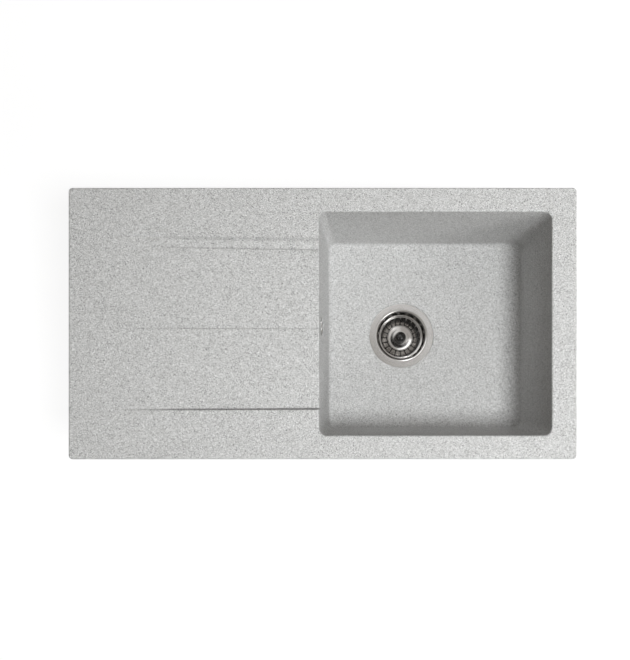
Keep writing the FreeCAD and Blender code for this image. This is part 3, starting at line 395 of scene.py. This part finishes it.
mesh = bmesh.new()
lathe(mesh, [(basket["rim"], basket["rimFoot"], 0),
             (basket["rim"], basket["top"], basket["rimRound"]),
             (basket["inner"], basket["top"], basket["rimRound"]),
             (basket["collar"], basket["collarFoot"], basket["crease"]),
             (basket["step"], basket["collarFoot"], basket["crease"]),
             (basket["coneTop"], basket["coneTopLevel"], 0),
             (basket["coneFoot"], basket["coneFootLevel"], 0),
             (basket["gapOuter"], basket["gapOuterLevel"], basket["crease"]),
             (basket["gapInner"], basket["gapInnerLevel"], basket["crease"]),
             (basket["plate"], basket["plateLevel"], basket["crease"]),
             (basket["crest"], basket["crestLevel"], basket["crestRound"]),
             (basket["dish"], basket["dishLevel"], basket["crestRound"]),
             (basket["landing"], basket["landingLevel"], basket["landingRound"]),
             (basket["stem"], basket["dishFoot"], 0)], basket["slots"] * basket["columns"])
# more rows down the cone, so that a slot's sides run straight and its ends are round
slack = 0.1
cone = [edge for edge in mesh.edges
        if min(vert.co.xy.length for vert in edge.verts) < (basket["coneFoot"] + slack) * mm
        and max(vert.co.xy.length for vert in edge.verts) > (basket["coneTop"] - slack) * mm]
bmesh.ops.subdivide_edges(mesh, edges=cone, cuts=basket["coneCuts"], use_grid_fill=True)
sector = math.tau / basket["slots"]
column = sector / basket["columns"]


def slotHalf(radius):
    # half the slot's width: narrow, with a wider round at each end; outside the slot a plain column
    if not basket["innerEnd"] < radius < basket["outerEnd"]:
        return column / 2 * radius
    ends = ((basket["innerMiddle"], basket["innerRound"]), (basket["outerMiddle"], basket["outerRound"]))
    rounds = [math.sqrt(max(0, size ** 2 - (radius - middle) ** 2)) for middle, size in ends]
    return max(basket["slot"], *rounds)


# the columns of faces are moved sideways until one in each sector is a slot, which is then taken out
for vert in mesh.verts:
    radius = vert.co.xy.length / mm
    if radius > basket["plate"]:
        whole, step = divmod(round(math.atan2(vert.co.y, vert.co.x) % math.tau / column), basket["columns"])
        half = slotHalf(radius) / radius
        share = (step - 1) / (basket["columns"] - 1)
        angle = whole * sector + (half + share * (sector - 2 * half) if step else -half)
        vert.co.xy = Vector((math.cos(angle), math.sin(angle))) * radius * mm
slotFaces = []
slotMiddle = 0.2
for face in mesh.faces:
    middle = face.calc_center_median()
    radius = middle.xy.length / mm
    away = (math.atan2(middle.y, middle.x) + sector / 2) % sector - sector / 2
    if basket["innerEnd"] < radius < basket["outerEnd"] and abs(away) * radius < slotMiddle:
        slotFaces.append(face)
bmesh.ops.delete(mesh, geom=slotFaces, context="FACES")
finishPiece(mesh, "slottedBasket", "strainer_basket", finishes["polished_steel"],
            basket["sheet"])
print("basket made,", len(slotFaces), "faces cut for slots")

# ball knob with a short neck on the steel stem
knob = {"ball": 9.8, "squash": 0.915, "segments": 64, "rings": 40, "middle": -25.5, "neck": 5.4,
        "neckFoot": -34.6, "neckRound": 0.6, "bore": 4.05, "boreTop": -32.6}

mesh = bmesh.new()
squash = Matrix.Scale(knob["squash"], 4, (0, 0, 1))
bmesh.ops.create_uvsphere(mesh, u_segments=knob["segments"], v_segments=knob["rings"],
                          radius=knob["ball"] * mm,
                          matrix=Matrix.Translation((0, 0, knob["middle"] * mm)) @ squash)
lathe(mesh, [(0, knob["middle"], 0),
             (knob["neck"], knob["middle"], 0),
             (knob["neck"], knob["neckFoot"], knob["neckRound"]),
             (knob["bore"], knob["neckFoot"], 0),
             (knob["bore"], knob["boreTop"], 0),
             (0, knob["boreTop"], 0)], knob["segments"])
knobFinish = plainFinish("blackGloss", grey(0.012), 0.05, 300.0, 0.00001, specular=0.6)
finishPiece(mesh, "ballKnob", "basket_knob", knobFinish)
print("knob made")

# overflow cover: domed plate with a rolled rim, five holes and a seat for the screw's head,
# on the bowl's left wall, which leans out by 10 mm in its 180 mm
cover = {"sheet": 0.7, "steps": 96, "radius": 15.0, "foot": 0.1, "shoulder": 1.2, "shoulderRound": 0.8,
         "height": 2.4, "rim": 12.6, "rimRound": 1.4, "plate": 12.0, "hub": 5.4, "head": 4.45,
         "headRound": 0.3, "headFoot": 0.8, "bore": 2.45, "hubSteps": 40,
         "holes": 5, "hole": 2.4, "holeCircle": 8.8, "holeSteps": 28, "wallRun": 10, "wallDepth": 180}

mesh = bmesh.new()
lathe(mesh, [(cover["radius"], cover["foot"], 0),
             (cover["radius"], cover["shoulder"], cover["shoulderRound"]),
             (cover["rim"], cover["height"], cover["rimRound"]),
             (cover["plate"], cover["height"], 0)], cover["steps"])
lathe(mesh, [(cover["hub"], cover["height"], 0),
             (cover["head"], cover["height"], cover["headRound"]),
             (cover["head"], cover["headFoot"], 0),
             (cover["bore"], cover["headFoot"], 0)], cover["hubSteps"])
holedPlate(mesh, cover, cover["height"])
lean = math.atan2(cover["wallRun"], cover["wallDepth"])
low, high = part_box("overflow_rosette")
wallPoint = Vector((low.x, 0, low.z)) + Vector((math.sin(lean), 0, math.cos(lean))) * cover["radius"] * mm
finishPiece(mesh, "overflowCover", "overflow_rosette", finishes["chrome"], cover["sheet"],
            place=Matrix.Translation(wallPoint) @ Matrix.Rotation(math.pi / 2 - lean, 4, "Y"))
print("overflow cover made")

# studio: a soft key at the right front and weak fills, which shiny faces don't mirror. The world is dark
# and warm for matt faces. For shiny ones it is a warm grey room with a white window at the back, a bright
# card at the right front and a small bright spot at the back. For the camera it is white.
studio = {
    "key": {"place": (0.655, -0.42, 2.0), "size": 0.57, "watts": 43.0, "colour": (0.98, 1.0, 1.005)},
    "side": {"place": (1.9, -1.7, 1.4), "size": 1.5, "watts": 24.0, "colour": (0.99, 1.0, 1.0)},
    "back": {"place": (0.5, 1.3, 1.9), "size": 1.4, "watts": 4.0, "colour": (1.0, 0.98, 0.95)},
    "aim": (0.1, 0, 0),
    "dark": (0.058, 0.048, 0.038, 1),
    "room": (0.40, 0.37, 0.34, 1),
    "ceilingLeft": (0.43, 0.415, 0.395, 1),
    "ceilingRight": (0.80, 0.80, 0.79, 1),
    "ceilingSplit": (-0.02, 0.16),
    "ceilingFrom": (0.80, 0.97),
    "window": {"towards": (-0.35, 0.68, 0.90), "spread": (24, 29), "level": 1.6},
    "card": {"towards": (0.40, -0.40, 0.76), "spread": (9, 13), "level": 4.5},
    "spot": {"towards": (-0.10, 0.85, 0.72), "spread": (6, 9), "level": 12.0},
}

for name in ("key", "side", "back"):
    lamp = bpy.data.lights.new(name + "Lamp", "AREA")
    lamp.shape = "DISK"
    lamp.size = studio[name]["size"]
    lamp.energy = studio[name]["watts"]
    lamp.color = studio[name]["colour"]
    holder = bpy.data.objects.new(name + "Lamp", lamp)
    holder.location = studio[name]["place"]
    towards = Vector(studio["aim"]) - holder.location
    holder.rotation_euler = towards.to_track_quat("-Z", "Y").to_euler()
    holder.visible_glossy = False
    scene.collection.objects.link(holder)

world = bpy.data.worlds.new("studioWorld")
scene.world = world
sky = Tree(world)
ray = sky.add("ShaderNodeLightPath")
right, back, up = sky.split(sky.add("ShaderNodeTexCoord")["Generated"])
ceiling = sky.mix(right.above(*studio["ceilingSplit"]), studio["ceilingLeft"], studio["ceilingRight"])
room = sky.mix(up.above(*studio["ceilingFrom"]), studio["room"], ceiling)
for name in ("window", "card", "spot"):
    light = studio[name]
    towards = Vector(light["towards"]).normalized()
    inner, outer = (math.cos(math.radians(angle)) for angle in light["spread"])
    facing = right * towards.x + back * towards.y + up * towards.z
    room = sky.mix(facing.above(outer, inner), room, grey(light["level"]))
shiny = (ray["Is Glossy Ray"] + ray["Is Transmission Ray"]).maths("MINIMUM", 1.0)
dim = sky.mix(shiny, studio["dark"], room)
sky.plug(sky.nodes["Background"].inputs["Color"], sky.mix(ray["Is Camera Ray"], dim, grey(1.0)))

# white floor just below the sink's lowest point; it glows only to the camera and in reflections
ground = {"size": 14.0, "gap": 0.0005, "tone": grey(0.93), "roughness": 0.9, "glow": 1.12, "glowShare": 0.8}

floorMesh = bmesh.new()
bmesh.ops.create_grid(floorMesh, x_segments=1, y_segments=1, size=ground["size"] / 2,
                      matrix=Matrix.Translation((0, 0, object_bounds()[0].z - ground["gap"])))
floorData = bpy.data.meshes.new("studioFloor")
floorMesh.to_mesh(floorData)
floorMesh.free()
floor = bpy.data.objects.new("studioFloor", floorData)
scene.collection.objects.link(floor)

paper = Finish("floorPaper", Roughness=ground["roughness"], Base_Color=ground["tone"])
ray = paper.add("ShaderNodeLightPath")
seen = (ray["Is Camera Ray"] + ray["Is Glossy Ray"] + ray["Is Transmission Ray"]).maths("MINIMUM", 1.0)
glow = paper.add("ShaderNodeEmission", None, Color=grey(1), Strength=ground["glow"])["Emission"]
matt = Wire(paper, paper.shader.outputs["BSDF"])
mixed = paper.add("ShaderNodeMixShader", None, seen * ground["glowShare"], matt, glow)["Shader"]
paper.plug(paper.nodes["Material Output"].inputs["Surface"], mixed)
floorData.materials.append(paper.material)
print("studio ready")

# camera: straight above, its axis in front of and right of the sink's middle
view = {"height": 1.153, "x": 0.0455, "y": -0.1394, "lens": 41.02, "shiftX": -0.0565, "shiftY": 0.1278}
camera = bpy.data.objects.new("camera", bpy.data.cameras.new("camera"))
camera.location = (view["x"], view["y"], rimTop + view["height"])
camera.data.lens = view["lens"]
camera.data.shift_x = view["shiftX"]
camera.data.shift_y = view["shiftY"]
scene.collection.objects.link(camera)
scene.camera = camera
scene.view_settings.view_transform = "Standard"
print("camera placed")
